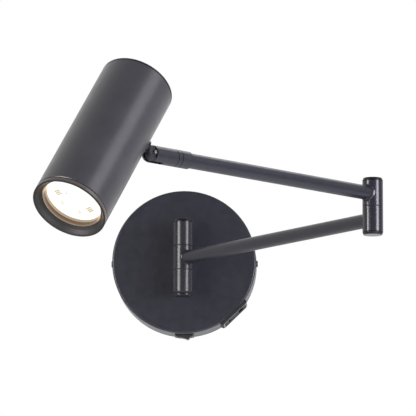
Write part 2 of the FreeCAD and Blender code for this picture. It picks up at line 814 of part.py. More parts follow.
def usb_a_outline(sketch, margin):
    """The rectangular socket's outline, grown by a margin."""
    return rectangle(
        sketch, f"usb_a_place - usb_a_short / 2 - ({margin})", f"usb_a_place + usb_a_short / 2 + ({margin})",
        f"module_middle - usb_a_long / 2 - ({margin})", f"module_middle + usb_a_long / 2 + ({margin})")


def usb_c_outline(sketch, margin):
    """The round-ended socket's outline, grown by a margin."""
    return pill(
        sketch, f"usb_c_long + 2 * ({margin})", f"usb_c_short + 2 * ({margin})",
        across="-usb_c_place", up="module_middle", upright=True)


# Rocker switch

def make_switch_housing():
    """Bezel with rounded corners over the switch's body, with the rocker's well."""
    body = new_body("switch_housing")
    bezel = sketch_on(body, "XY_Plane", "fit_gap")
    rectangle(bezel, "-bezel_length / 2", "bezel_length / 2", "-bezel_width / 2", "bezel_width / 2")
    pad(body, bezel, "bezel_height")
    soften(body, upright_edges(body, "0"), "bezel_corner")
    case = sketch_on(body, "XY_Plane", "fit_gap")
    rectangle(case, "-switch_length / 2", "switch_length / 2", "-switch_width / 2", "switch_width / 2")
    pad(body, case, "switch_depth", back=True)
    well = sketch_on(body, "XY_Plane", "bezel_height + overrun")
    rectangle(well, "-cavity_length / 2", "cavity_length / 2", "-cavity_width / 2", "cavity_width / 2")
    cut(body, well, "bezel_height + overrun + cavity_depth")
    trunnions = circle(sketch_on(body, "XZ_Plane"), "trunnion_radius + running_gap", up="-rocker_pivot")
    hole = cut(body, trunnions, "cavity_width + trunnion_length * 2 + face_gap * 2", forward=True)
    hole.SideType = "Symmetric"
    DOC.recompute()
    return body


def make_switch_rocker():
    """Rocker with round ends about its trunnions and a shallow dip across its top."""
    body = new_body("switch_rocker")
    width = "cavity_width - face_gap * 2"
    pad(body, circle(sketch_on(body, "XZ_Plane"), "rocker_radius"), width, symmetric=True)
    top = sketch_on(body, "XZ_Plane")
    reach = "rocker_radius + overrun"
    polygon(top, [
        ("0", "rocker_dip"), ("rocker_corner", "rocker_corner_height"), (reach, "rocker_corner_height"),
        (reach, reach), (f"-({reach})", reach), (f"-({reach})", "rocker_corner_height"),
        ("-(rocker_corner)", "rocker_corner_height")])
    cut(body, top)
    foot = sketch_on(body, "XZ_Plane")
    rectangle(foot, f"-({reach})", reach, f"-({reach})", "-rocker_foot")
    cut(body, foot)
    pins = circle(sketch_on(body, "XZ_Plane"), "trunnion_radius")
    pad(body, pins, f"{width} + trunnion_length * 2", symmetric=True)
    return body


def make_switch_blades():
    """Two flat connector blades below the switch."""
    body = new_body("switch_blades")
    blades = sketch_on(body, "XY_Plane", "fit_gap - switch_depth")
    for side in ("-", ""):
        middle = f"{side}blade_place"
        rectangle(
            blades, f"{middle} - blade_thickness / 2", f"{middle} + blade_thickness / 2",
            "-blade_width / 2", "blade_width / 2")
    pad(body, blades, "blade_length", back=True)
    return body


# Arms

def make_arm_tube(label, length):
    """A tube along X from one barrel's socket."""
    body = new_body(label)
    ends = sketch_on(body, "YZ_Plane", "socket_floor + fit_gap")
    circle(ends, "tube_radius")
    circle(ends, "tube_radius - tube_wall")
    pad(body, ends, length)
    return body


def make_collar():
    """Collar on the upper arm's end, tapped for the nipple, with a bevelled back edge."""
    body = new_body("arm_end_collar")
    revolve(body, [
        ("nipple_radius + fit_gap", "collar_start"), ("sleeve_radius", "collar_start"),
        ("sleeve_radius", "collar_end"), ("tube_radius + fit_gap", "collar_end"),
        ("tube_radius + fit_gap", "tube_stop"), ("nipple_radius + fit_gap", "tube_stop")])
    soften(body, round_edges(body, [("sleeve_radius", "collar_end")]), "collar_bevel * 0.7", "Chamfer")
    return body


def make_lock_ring():
    """Plain ring between collar and fork, with fine bevels that read as two grooves."""
    body = new_body("swivel_lock_ring")
    end = "ring_start + ring_length"
    revolve(body, [
        ("nipple_radius + fit_gap", "ring_start"), ("sleeve_radius", "ring_start"),
        ("sleeve_radius", end), ("nipple_radius + fit_gap", end)])
    rims = round_edges(body, [("sleeve_radius", "ring_start"), ("sleeve_radius", end)])
    soften(body, rims, "segment_bevel", "Chamfer")
    return body


def make_nipple():
    """Hollow threaded nipple that the fork turns on."""
    body = new_body("swivel_nipple")
    end = "tube_stop - seat_gap"
    start = "nipple_start + face_gap"
    revolve(body, [
        ("lead_hole", start), ("nipple_radius", start), ("nipple_radius", end), ("lead_hole", end)])
    return body


def make_fork():
    """Sleeve with a round nose, milled cheeks, pockets for screw and nut, and the tongue's slot."""
    body = new_body("swivel_fork")
    bore = "nipple_radius + running_gap"
    revolve(body, [
        ("0", "-sleeve_radius"), ("sleeve_radius", "-sleeve_radius"), ("sleeve_radius", "fork_end"),
        (bore, "fork_end"), (bore, "nipple_start"), ("lead_hole", "nipple_start"),
        ("lead_hole", "slot_floor - overrun"), ("0", "slot_floor - overrun")])
    soften(body, round_edges(body, [("sleeve_radius", "-sleeve_radius")]), "nose_round")
    soften(body, round_edges(body, [("sleeve_radius", "fork_end")]), "segment_bevel", "Chamfer")
    reach = "sleeve_radius + overrun"
    for forward, offset in ((True, "flat_depth"), (False, "-flat_depth")):
        cheek = sketch_on(body, "XZ_Plane", offset)
        rectangle(cheek, f"-({reach})", reach, f"-({reach})", "flat_end")
        cut(body, cheek, reach, forward=forward)
    soften(body, round_edges(body, [("sleeve_radius", "flat_end")]), "segment_bevel", "Chamfer")
    for forward, offset, seat in (
            (True, "flat_depth", "tilt_nut_flats / sqrt(3)"), (False, "-flat_depth", "tilt_head_radius")):
        pocket = circle(sketch_on(body, "XZ_Plane", offset), f"{seat} + tilt_pocket_gap")
        cut(body, pocket, reach, forward=forward)
    slot = sketch_on(body, "YZ_Plane")
    rectangle(slot, "-slot_half", "slot_half", f"-({reach})", "slot_floor")
    cut(body, slot)
    cut(body, circle(sketch_on(body, "XZ_Plane"), "tilt_shank + fit_gap"))
    return body


# Head

def make_tongue():
    """Eye, neck, saddle flange and hollow stud in one turned and milled piece."""
    body = new_body("shade_tongue")
    pad(body, circle(sketch_on(body, "XZ_Plane"), "eye_radius"), "tongue_half * 2", symmetric=True)
    neck = rectangle(sketch_on(body, "XZ_Plane"), "0", "flange_start", "-neck_half", "neck_half")
    pad(body, neck, "tongue_half * 2", symmetric=True)
    flange = circle(sketch_on(body, "YZ_Plane", "flange_start"), "flange_radius")
    pad(body, flange, "hinge_offset - flange_start + overrun * 2")
    saddle = circle(sketch_on(body, "XY_Plane"), "shade_radius + fit_gap", "shade_axis")
    cut(body, saddle)
    stud = circle(sketch_on(body, "YZ_Plane", "flange_start"), "stud_radius")
    pad(body, stud, "stud_end - flange_start")
    drill = circle(sketch_on(body, "YZ_Plane", "stud_end + overrun"), "stud_bore")
    cut(body, drill, "overrun + stud_end - flange_start - overrun")
    cut(body, circle(sketch_on(body, "XZ_Plane"), "tilt_shank + running_gap"))
    return body


def make_shade_tube():
    """The shade's plain tube, with one hole for the stud."""
    body = new_body("shade_tube")
    front = "ring_face + front_seam - rim"
    back = "mount_from_end - end_thickness"
    revolve(body, [
        ("shade_inside", front), ("shade_radius", front), ("shade_radius", back), ("shade_inside", back)])
    soften(body, round_edges(body, [("shade_radius", front), ("shade_radius", back)]), "end_edge", "Chamfer")
    hole = circle(sketch_on(body, "YZ_Plane"), "stud_radius + fit_gap")
    cut(body, hole, "shade_radius + overrun")
    return body


def make_end_cap():
    """Flat closed end with a softened rim and a spigot inside the tube."""
    body = new_body("shade_end_cap")
    seat = "mount_from_end - end_thickness"
    outer = "shade_inside - fit_gap"
    inner = f"{outer} - end_spigot_wall"
    revolve(body, [
        ("0", seat), (inner, seat), (inner, f"{seat} - end_spigot"), (outer, f"{seat} - end_spigot"),
        (outer, seat), ("shade_radius", seat), ("shade_radius", "mount_from_end"), ("0", "mount_from_end")])
    soften(body, round_edges(body, [("shade_radius", "mount_from_end")]), "end_edge", "Chamfer")
    return body


def make_front_ring():
    """Front ring: narrow rim, cone down to the lip that holds the lamp, and a spigot."""
    body = new_body("front_ring")
    outer = "shade_inside - fit_gap"
    inner = f"{outer} - ring_spigot_wall"
    revolve(body, [
        ("shade_radius - ring_rim", "0"), ("shade_radius", "0"), ("shade_radius", "ring_face"),
        (outer, "ring_face"), (outer, "ring_spigot"), (inner, "ring_spigot"), (inner, "lip_back"),
        ("ring_lip_radius", "lip_back"), ("ring_lip_radius", "ring_lip_depth")])
    soften(body, round_edges(body, [("shade_radius", "0")]), "ring_edge", "Chamfer")
    return body


def make_bulb_body():
    """Reflector lamp: wide rim with a recess for the lens, belly and round base."""
    body = new_body("bulb_body")
    base = "bulb_back - bulb_base_length"
    recess = "bulb_front + lens_set_back + lens_thickness + seat_gap"
    belly = "(bulb_base_radius + bulb_radius) / 2"
    middle = "(bulb_front + bulb_rim + bulb_back - bulb_base_length) / 2"
    revolve(body, [
        ("0", recess), ("lens_radius + fit_gap", recess), ("lens_radius + fit_gap", "bulb_front"),
        ("bulb_radius", "bulb_front"), ("bulb_radius", "bulb_front + bulb_rim"),
        ("bulb_radius - bulb_rim / 6", "bulb_front + bulb_rim * 7 / 6"), (belly, f"{middle} + bulb_rim / 6"),
        ("bulb_base_radius", base), ("bulb_base_radius", "bulb_back"), ("0", "bulb_back")])
    return body


def make_bulb_lens():
    """The lamp's lit front."""
    body = new_body("bulb_lens")
    lens = circle(sketch_on(body, "XY_Plane", "bulb_front + lens_set_back"), "lens_radius")
    pad(body, lens, "lens_thickness")
    return body


def make_bulb_pins():
    """Two locking pins with round heads."""
    body = new_body("bulb_pins")
    for start, radius, length in (
            ("bulb_back", "pin_radius", "pin_length"),
            ("bulb_back + pin_length - pin_head_length", "pin_head_radius", "pin_head_length")):
        pins = sketch_on(body, "XY_Plane", start)
        for side in ("-", ""):
            circle(pins, radius, up=f"{side}pin_spacing / 2")
        pad(body, pins, length)
    return body


def make_lamp_holder():
    """Ceramic holder with two pin pockets and two screw holes from behind."""
    body = new_body("lamp_holder")
    revolve(body, [
        ("0", "holder_front"), ("holder_radius", "holder_front"), ("holder_radius", "holder_back"),
        ("0", "holder_back")])
    pockets = sketch_on(body, "XY_Plane", "holder_front - overrun")
    for side in ("-", ""):
        circle(pockets, "pin_head_radius + seat_gap", up=f"{side}pin_spacing / 2")
    cut(body, pockets, "overrun + holder_pocket", forward=True)
    screws = sketch_on(body, "XY_Plane", "holder_back + overrun")
    for side in ("-", ""):
        circle(screws, "holder_screw + fit_gap", across=f"{side}holder_screw_offset")
    cut(body, screws, "overrun + holder_screw_length + seat_gap")
    return body


def make_holder_strip():
    """Bent strip: one leg under the stud's nut, the other behind the lamp holder."""
    body = new_body("lamp_holder_strip")
    end = "strip_overhang + rim"
    along = sketch_on(body, "XZ_Plane")
    polygon(along, [
        ("-(strip_face)", "holder_back"), ("holder_radius - strip_thickness", "holder_back"),
        ("holder_radius - strip_thickness", "holder_seat"), ("strip_thickness - (strip_face)", "holder_seat"),
        ("strip_thickness - (strip_face)", end), ("-(strip_face)", end)])
    pad(body, along, "strip_width", symmetric=True)
    hole = circle(sketch_on(body, "YZ_Plane"), "stud_radius + fit_gap", up="rim")
    cut(body, hole, "shade_radius")
    screws = sketch_on(body, "XY_Plane")
    for side in ("-", ""):
        circle(screws, "holder_screw + fit_gap", across=f"{side}holder_screw_offset")
    cut(body, screws)
    return body


def make_holder_screws():
    """Two screws that hold the strip to the lamp holder."""
    body = new_body("lamp_holder_screws")
    for start, radius, length in (
            ("holder_back - holder_screw_length", "holder_screw", "holder_screw_length + strip_thickness"),
            ("holder_seat", "holder_head_radius", "holder_head_height")):
        discs = sketch_on(body, "XY_Plane", start)
        for side in ("-", ""):
            circle(discs, radius, across=f"{side}holder_screw_offset")
        pad(body, discs, length)
    return body


def put(body, place):
    """Set a finished piece in its place."""
    body.Placement = place
    return body


def build_wall_plate(frames):
    """Everything that stays on the wall, but for the rocker."""
    wall = frames["wall"]
    put(make_canopy(), wall)
    put(make_wall_bracket(), wall)
    for label, turn in (("left_side_screw", -90), ("right_side_screw", 90)):
        length = "canopy_radius - ear_outside + bracket_thickness + thread_stand + fit_gap"
        screw = make_slotted_screw(
            label, "side_screw", "side_screw_head", "side_screw_head_height", length, "side_screw_dome")
        seat = moved(z=value("canopy_radius + fit_gap"))
        put(screw, wall * moved(z=value("screw_depth")) * turned(Y_AXIS, turn) * seat)
    earth = make_slotted_screw(
        "earth_screw", "earth_screw", "earth_head", "earth_head_height", "bracket_thickness")
    seat = moved(value("earth_place"), -value("earth_drop"), value("bracket_thickness"))
    put(earth, wall * seat)
    put(make_terminal_block(), wall)
    put(make_terminal_screws(), wall)
    put(make_power_supply(), wall)
    for name in ("upper_post", "lower_post"):
        put(make_post(name), frames[name])
        nut = make_nut(f"{name}_nut", "post_nut_flats", "post_thread + fit_gap", "post_nut_height")
        put(nut, frames[name] * moved(z=value("canopy_ceiling - post_nut_height")))


def build_wall_barrel(frames):
    """The fixed outer segments, their caps, the hollow pivot and two seam washers."""
    back = frames["barrel_back"]
    barrel = frames["barrel"]
    half = value("segment_length * 3 / 2 + seam_gap")
    for name, side in (("upper", 1), ("lower", -1)):
        segment = make_segment(f"wall_barrel_{name}", "bore", "post_radius + fit_gap")
        put(segment, back * moved(z=side * value("pitch")))
        washer = make_washer(f"wall_{name}_washer")
        put(washer, barrel * moved(z=side * value("pitch / 2")))
    put(make_cap("wall_barrel_top_cap"), barrel * moved(z=half))
    put(make_cap("wall_barrel_bottom_cap"), barrel * turned(X_AXIS, 180) * moved(z=half))
    put(make_pivot("wall_pivot_tube", 3, ("-(pitch)", "0", "pitch")), barrel)


def build_usb_module(frames):
    """The two-socket module in the canopy's notch."""
    place = frames["module"]
    put(make_module_housing(), place)
    put(make_circuit_board(), place)
    put(make_usb_shell("usb_a_shell", usb_a_outline, "usb_a_wall"), place)
    put(make_usb_shell("usb_c_shell", usb_c_outline, "usb_c_wall"), place)
    put(make_usb_tongue(
        "usb_a_tongue", usb_a_outline, "usb_a_wall", "usb_a_tongue_short", "usb_a_tongue_long",
        "usb_a_place", "usb_a_tongue_short / 2"), place)
    put(make_usb_tongue(
        "usb_c_tongue", usb_c_outline, "usb_c_wall", "usb_c_tongue_short", "usb_c_tongue_long",
        "-usb_c_place"), place)


def build_switch(frames):
    """The rocker switch at the foot of the skirt, with its right end standing out."""
    place = frames["switch"]
    put(make_switch_housing(), place)
    put(make_switch_blades(), place)
    pivot = place * moved(z=-value("rocker_pivot"))
    put(make_switch_rocker(), pivot * turned(Y_AXIS, -value("rocker_tilt")))


def build_arms(frames):
    """Both arms with their barrel segments, from the wall to the swivel collar."""
    socket = "tube_radius + fit_gap"
    running = "pivot_radius + running_gap"
    put(make_segment("wall_barrel_middle", running, socket, spot=True), frames["lower_arm"])
    length = "lower_arm - 2 * (socket_floor + fit_gap)"
    put(make_arm_tube("lower_arm_tube", length), frames["lower_arm"])
    elbow = frames["elbow"]
    put(make_segment("elbow_lower_segment", "bore", socket, spot=True), elbow)
    bottom = turned(X_AXIS, 180) * moved(z=value("segment_length / 2"))
    put(make_cap("elbow_bottom_cap"), elbow * bottom)
    middle = moved(z=value("pitch / 2"))
    put(make_pivot("elbow_pivot_tube", 2, ("-pitch / 2", "pitch / 2")), elbow * middle)
    put(make_washer("elbow_washer"), elbow * middle)
    upper = frames["upper_arm"]
    put(make_segment("elbow_upper_segment", running, socket, spot=True), upper)
    put(make_cap("elbow_top_cap"), upper * moved(z=value("segment_length / 2")))
    length = "upper_arm - (tube_stop) - fit_gap - socket_floor - fit_gap"
    put(make_arm_tube("upper_arm_tube", length), upper)


def build_knuckle(frames):
    """Collar, nipple, ring, fork and the screw that the head tips on."""
    sleeve = frames["sleeve"]
    put(make_collar(), sleeve)
    put(make_nipple(), sleeve)
    put(make_lock_ring(), sleeve)
    put(make_fork(), sleeve)
    put(make_tilt_screw(), frames["screw"] * moved(z=value("flat_depth")))
    nut = make_nut("tilt_nut", "tilt_nut_flats", "tilt_shank + fit_gap", "tilt_nut_height")
    put(nut, frames["screw"] * moved(z=-value("flat_depth + tilt_nut_height")))


def build_head(frames):
    """The shade with its tongue, front ring, lamp and lamp holder."""
    rim = frames["rim"]
    shade = frames["shade"]
    put(make_tongue(), frames["head"])
    nut = make_nut("stud_nut", "post_nut_flats", "stud_radius + fit_gap", "stud_nut_height")
    put(nut, frames["stud"] * moved(z=value("stud_nut_seat")))
    put(make_shade_tube(), shade)
    put(make_end_cap(), shade)
    for make in (make_front_ring, make_bulb_body, make_bulb_lens, make_bulb_pins,
                 make_lamp_holder, make_holder_strip, make_holder_screws):
        put(make(), rim)


def check_and_export():
    """Stop on any failed feature or bad solid, then write each piece to its file."""
    DOC.recompute()
    for each in DOC.Objects:
        if "Invalid" in each.State or "Error" in each.State:
            raise RuntimeError(f"{each.Name} failed: {each.State}")
    for body in PIECES:
        if body.Shape.isNull() or not body.Shape.isValid() or not body.Shape.Solids:
            raise RuntimeError(f"{body.Label} has no valid solid")
    os.makedirs("parts", exist_ok=True)
    for body in PIECES:
        body.Shape.exportStep(f"parts/{body.Label}.step")
    print(len(PIECES), "pieces")


fill_sheet()
FRAMES = place_frames()
build_wall_plate(FRAMES)
build_wall_barrel(FRAMES)
build_usb_module(FRAMES)
build_switch(FRAMES)
build_arms(FRAMES)
build_knuckle(FRAMES)
build_head(FRAMES)
check_and_export()
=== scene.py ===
import json
import math

import bmesh
import bpy
from mathutils import Matrix, Vector


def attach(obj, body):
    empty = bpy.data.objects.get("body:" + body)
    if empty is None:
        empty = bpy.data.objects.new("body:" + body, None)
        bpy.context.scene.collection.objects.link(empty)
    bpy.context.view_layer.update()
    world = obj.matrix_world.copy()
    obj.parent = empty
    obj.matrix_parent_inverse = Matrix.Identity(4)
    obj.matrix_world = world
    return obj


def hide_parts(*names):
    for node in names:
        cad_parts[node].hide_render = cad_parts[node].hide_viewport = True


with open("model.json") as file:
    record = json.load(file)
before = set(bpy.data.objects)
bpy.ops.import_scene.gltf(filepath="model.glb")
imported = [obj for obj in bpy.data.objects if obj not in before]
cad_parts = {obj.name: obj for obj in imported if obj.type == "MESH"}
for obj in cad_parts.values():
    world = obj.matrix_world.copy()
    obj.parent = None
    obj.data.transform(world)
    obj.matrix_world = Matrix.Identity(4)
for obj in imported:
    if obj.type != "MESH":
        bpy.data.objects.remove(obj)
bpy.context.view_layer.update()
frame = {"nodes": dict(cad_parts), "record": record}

# Swing arm wall lamp, seen from the front and a little below through a long lens.
# The wall is Y = 0 and +Z is up. The studio is in metres, and the lamp's places and forms are in mm.

MM = 0.001

# The photograph's camera, in mm and degrees
CAMERA_PLACE = (125.689, -2913.385, -432.205)
CAMERA_PITCH = 9.39
CAMERA_YAW = -2.099
CAMERA_ROLL = 0.135
FOCAL_PIXELS = 3505.8
FRAME_PIXELS = 416
SENSOR_WIDTH = 36.0

# The studio, in metres and watts
CAMERA_REACH = 30.0
FLOOR_HEIGHT = -1.45
FLOOR_SIZE = 16.0
FLOOR_FULL = 2.0            # the floor is whole as far as here
FLOOR_CLEAR = 7.5           # and gone from here on
WORLD_LIGHT = 0.9           # on dull surfaces
ROOM_LIGHT = 0.2            # what gloss mirrors of the dim room before the lamp
SWEEP_LIGHT = 1.0           # and of the white sweep behind it
SWEEP_SIDE = (-0.35, 1.0, 0.0)
SWEEP_START = -0.25         # how far a ray turns to that side before it meets the sweep
SWEEP_END = 0.65            # and where the sweep is full white
LAMP_GLOW = 0.007
LAMP_TINT = (1.0, 0.74, 0.5)

# Each softbox: its name, place, what it looks at, width and height, watts, tint, and whether it lights
# dull surfaces as well as glossy ones
SOFTBOXES = (
    ("left_softbox", (-3.42, -3.55, 0.35), (0, -0.25, 0), (1.7, 3.4), 275, (1.0, 0.96, 0.96), False),
    ("right_softbox", (3.0, -2.8, 0.1), (0.05, -0.25, 0), (1.34, 2.9), 172, (0.96, 0.95, 1.0), True),
    ("side_softbox", (2.46, -0.85, 1.65), (-0.06, -0.49, 0.05), (1.35, 1.2), 12, (0.97, 0.95, 1.0), False),
    ("top_softbox", (0.3, 0.7, 1.5), (0, -0.25, 0), (1.4, 0.8), 8, (1.0, 1.0, 1.0), True),
)

# Sizes of the part, in mm and degrees
PLATE_RADIUS = 60.0
BARREL_STANDOFF = 48.5      # from the wall
BARREL_RADIUS = 8.0
SEGMENT_PITCH = 20.0        # from one barrel segment's middle to the next one's
SEGMENT_LENGTH = 19.6
POST_RADIUS = 5.0
TUBE_RADIUS = 5.55
LOWER_ARM_LENGTH = 250.0
UPPER_ARM_LENGTH = 240.0
LOWER_ARM_TURN = -51.7
ELBOW_TURN = 99.2
SWIVEL_TURN = 7.5
SHADE_TILT = -37.7
NOSE_RADIUS = 6.5           # of the knuckle's milled nose, round its screw
SHADE_ASIDE = 37.0          # from the knuckle's screw to the shade's axis
SHADE_RADIUS = 27.5
SHADE_BORE = 26.25
RIM_DEPTH = 94.299          # from the knuckle's screw to the shade's rim, along the shade
CLOSED_END = 34.701         # and to its closed end
LENS_FRONT = 11.0           # from the rim inwards
LENS_RADIUS = 21.5
MODULE_TURN = -45.8
MODULE_FACE = 60.896        # from the plate's middle
MODULE_MIDDLE = 16.3        # from the wall
USB_A_PLACE = 6.4
USB_C_PLACE = -6.2
SWITCH_MIDDLE = 14.0        # from the wall
ROCKER_DEPTH = 1.2          # its pivot, inside the plate's edge
ROCKER_TURN = -12.0

# How finely round forms are divided
ARC_STEPS = 4
AROUND = 96
SHADE_AROUND = 144
DISH_STEPS = 8
ROCKER_STEPS = 10
SHARP_ANGLE = 40            # edges sharper than this aren't shaded smooth


# Places, as the part sets them: from the wall out to the head

def turned(axis, degrees):
    """A turn about one of the axes."""
    return Matrix.Rotation(math.radians(degrees), 4, axis)


def moved(x=0.0, y=0.0, z=0.0):
    """A shift."""
    return Matrix.Translation((x, y, z))


WALL = turned("X", 90)
BARREL = moved(y=-BARREL_STANDOFF)
BARREL_UNDER = BARREL @ turned("X", 180)
BARREL_BACK = BARREL @ turned("Z", 90)
LOWER_ARM = BARREL @ turned("Z", LOWER_ARM_TURN)
ELBOW = LOWER_ARM @ moved(x=LOWER_ARM_LENGTH) @ turned("Z", 180)
UPPER_ARM = ELBOW @ moved(z=SEGMENT_PITCH) @ turned("Z", ELBOW_TURN)
KNUCKLE = UPPER_ARM @ moved(x=UPPER_ARM_LENGTH) @ turned("X", SWIVEL_TURN)
HEAD = KNUCKLE @ turned("Y", SHADE_TILT)
SHADE = HEAD @ moved(x=SHADE_ASIDE)
RIM = SHADE @ moved(z=-RIM_DEPTH)
MODULE = WALL @ turned("Z", MODULE_TURN)
SWITCH = moved(y=-SWITCH_MIDDLE, z=-PLATE_RADIUS) @ turned("X", 180)
ROCKER = SWITCH @ moved(z=-ROCKER_DEPTH) @ turned("Y", ROCKER_TURN)


# Nodes that materials and the world share

def map_range(tree, value, start, end, low=0.0, high=1.0):
    """A value that runs from low to high while another runs from start to end."""
    node = tree.nodes.new("ShaderNodeMapRange")
    for name, amount in (("From Min", start), ("From Max", end), ("To Min", low), ("To Max", high)):
        node.inputs[name].default_value = amount
    tree.links.new(value, node.inputs["Value"])
    return node.outputs["Result"]


def larger(tree, one, other):
    """The larger of two values."""
    node = tree.nodes.new("ShaderNodeMath")
    node.operation = "MAXIMUM"
    tree.links.new(one, node.inputs[0])
    tree.links.new(other, node.inputs[1])
    return node.outputs[0]


def mixed(tree, kind, factor, first, second):
    """A mix of two numbers or two colours, each a constant or another node's output."""
    node = tree.nodes.new("ShaderNodeMix")
    node.data_type = kind
    tree.links.new(factor, node.inputs["Factor"])
    for name, value in (("A", first), ("B", second)):
        if isinstance(value, bpy.types.NodeSocket):
            tree.links.new(value, node.inputs[name])
        else:
            node.inputs[name].default_value = value
    return node.outputs["Result"]


# Materials

def shader_of(material):
    """The material's principled shader."""
    return material.node_tree.nodes["Principled BSDF"]


def new_material(name, color, roughness, specular=0.5, metallic=0.0):
    """A principled material with its constants on the shader itself."""
    material = bpy.data.materials.new(name)
    material.use_nodes = True
    shader = shader_of(material)
    shader.inputs["Base Color"].default_value = (*color, 1)
    shader.inputs["Roughness"].default_value = roughness
    shader.inputs["Specular IOR Level"].default_value = specular
    shader.inputs["Metallic"].default_value = metallic
    return material


def link(material, output, name):
    """Joins a texture to one of the shader's sockets."""
    material.node_tree.links.new(output, shader_of(material).inputs[name])


def noise(material, scale, detail=3.0):
    """Noise in object space, in metres, so that it keeps its size on every piece."""
    tree = material.node_tree
    place = tree.nodes.new("ShaderNodeTexCoord")
    texture = tree.nodes.new("ShaderNodeTexNoise")
    texture.inputs["Scale"].default_value = scale
    texture.inputs["Detail"].default_value = detail
    tree.links.new(place.outputs["Object"], texture.inputs["Vector"])
    return texture.outputs["Fac"]


def opaque(tone):
    """A colour or a grey value with its alpha."""
    return (*tone, 1) if isinstance(tone, tuple) else (tone, tone, tone, 1)


def ramp(material, factor, low, high, start=0.35, end=0.65):
    """Two colours, or two grey values, mixed by a factor."""
    node = material.node_tree.nodes.new("ShaderNodeValToRGB")
    first, last = node.color_ramp.elements
    first.position, last.position = start, end
    first.color, last.color = opaque(low), opaque(high)
    material.node_tree.links.new(factor, node.inputs["Fac"])
    return node.outputs["Color"]


def tones(material, factor, color, low, high):
    """One colour that drifts between two shares of its brightness."""
    dark, light = (tuple(min(value * share, 1) for value in color) for share in (low, high))
    return ramp(material, factor, dark, light)


def bump(material, height, strength, depth):
    """A bump on the shader's normal, with its depth in metres."""
    node = material.node_tree.nodes.new("ShaderNodeBump")
    node.inputs["Strength"].default_value = strength
    node.inputs["Distance"].default_value = depth
    material.node_tree.links.new(height, node.inputs["Height"])
    link(material, node.outputs["Normal"], "Normal")


def distance(material, place, near, far):
    """A factor that runs from 0 to 1 between two distances from a point, in mm."""
    tree = material.node_tree
    here = tree.nodes.new("ShaderNodeTexCoord")
    gap = tree.nodes.new("ShaderNodeVectorMath")
    gap.operation = "DISTANCE"
    gap.inputs[1].default_value = place * MM
    tree.links.new(here.outputs["Object"], gap.inputs[0])
    return map_range(tree, gap.outputs["Value"], near * MM, far * MM)


def between_heights(material, place, low, high, away=1000):
    """A factor that runs from 0 to 1 between two heights over a place, told from a point far below it."""
    below = (place @ moved(z=-away)).to_translation()
    return distance(material, below, away + low, away + high)


def overlay(material, factor, color, roughness):
    """Lays another colour, plain or a texture, and another roughness over the material's own."""
    if isinstance(color, tuple):
        color = opaque(color)
    for name, value in (("Base Color", color), ("Roughness", opaque(roughness))):
        own = shader_of(material).inputs[name].links[0].from_socket
        link(material, mixed(material.node_tree, "RGBA", factor, own, value), name)


PEEL = (2400, 0.000004)             # scale and depth of a coat's orange peel
SCREW_PEEL = (1500, 0.000004)
GLOSS_PEEL = (200, 0.0000004)
SPARK_GRAIN = 2600


def coated(name, color, roughness, peel=PEEL, specular=0.5):
    """Stove enamel or powder coat: fine orange peel, faint drift in tone and gloss."""
    material = new_material(name, color, roughness, specular)
    link(material, tones(material, noise(material, 55, 4), color, 0.94, 1.06), "Base Color")
    sheen = noise(material, 140, 5)
    link(material, ramp(material, sheen, roughness * 0.92, roughness * 1.08), "Roughness")
    bump(material, noise(material, peel[0], 2), 0.35, peel[1])
    return material


def plated(name, color, roughness):
    """Plated or turned metal, with a fine grain in its tone and gloss."""
    material = new_material(name, color, roughness, metallic=1.0)
    grain = noise(material, 900)
    link(material, tones(material, grain, color, 0.85, 1), "Base Color")
    link(material, ramp(material, grain, roughness * 0.8, roughness * 1.25), "Roughness")
    bump(material, grain, 0.15, 0.00003)
    return material


def moulded(name, color, roughness, grain=SPARK_GRAIN, specular=0.45):
    """Moulded plastic with a fine spark-eroded grain."""
    material = new_material(name, color, roughness, specular)
    link(material, tones(material, noise(material, 80), color, 0.92, 1.08), "Base Color")
    speck = noise(material, grain, 2)
    link(material, ramp(material, speck, roughness * 0.9, roughness * 1.1), "Roughness")
    bump(material, speck, 0.3, 0.00002)
    return material


def satin(name):
    """The satin black coat of the plate, the arms and the knuckle."""
    return coated(name, (0.0145, 0.0145, 0.0235), 0.36, specular=0.42)


def make_fork_paint():
    """The satin coat, which gives way on the fork's milled nose to a rough, speckled near black."""
    material = satin("fork_coat")
    nose = distance(material, KNUCKLE.to_translation(), NOSE_RADIUS + 0.1, NOSE_RADIUS)
    nose_near_black = ramp(material, noise(material, 900), (0.002, 0.002, 0.0025), (0.02, 0.02, 0.022), 0.42, 0.72)
    overlay(material, nose, nose_near_black, 0.6)
    return material


def make_canopy_paint():
    """The satin coat, with a dark line where the plate's rim meets the wall."""
    material = satin("canopy_coat")
    overlay(material, between_heights(material, WALL, 5.2, 4.2), (0.004, 0.004, 0.005), 0.75)
    return material


def make_barrel_enamel():
    """A glossy coat, painted dark and dull at the wall barrel's lower end as painted shade, so that its
    strips of light taper off there.
    """
    material = coated("black_enamel", (0.022, 0.022, 0.027), 0.22, GLOSS_PEEL, 0.3)
    # painted shade: a darker, dull band over the lower end that stops the reflections
    end = between_heights(material, BARREL_UNDER, 28.25, 28.55, away=400)
    overlay(material, end, (0.01, 0.01, 0.013), 0.7)
    return material


def make_ring_paint():
    """The front ring's coat: painted warm and lighter outside as painted light, painted darker inside and
    along the lip as painted shade, with a dark seam.
    """
    # the warm, lighter outside tone is painted light on a black coat
    material = coated("ring_coat_painted_light_and_shade", (0.07, 0.057, 0.053), 0.28)
    # painted shade over the ring's inside
    inside = distance(material, (RIM @ moved(z=2.2)).to_translation(), 27.1, 26.9)
    overlay(material, inside, (0.0095, 0.009, 0.012), 0.55)
    # a dark seam line, then a painted shade line along the lip
    for low, high in ((3.55, 3.65), (1.25, 1.15)):
        line = between_heights(material, RIM, low, high)
        overlay(material, line, (0.004, 0.003, 0.003), 0.7)
    return material


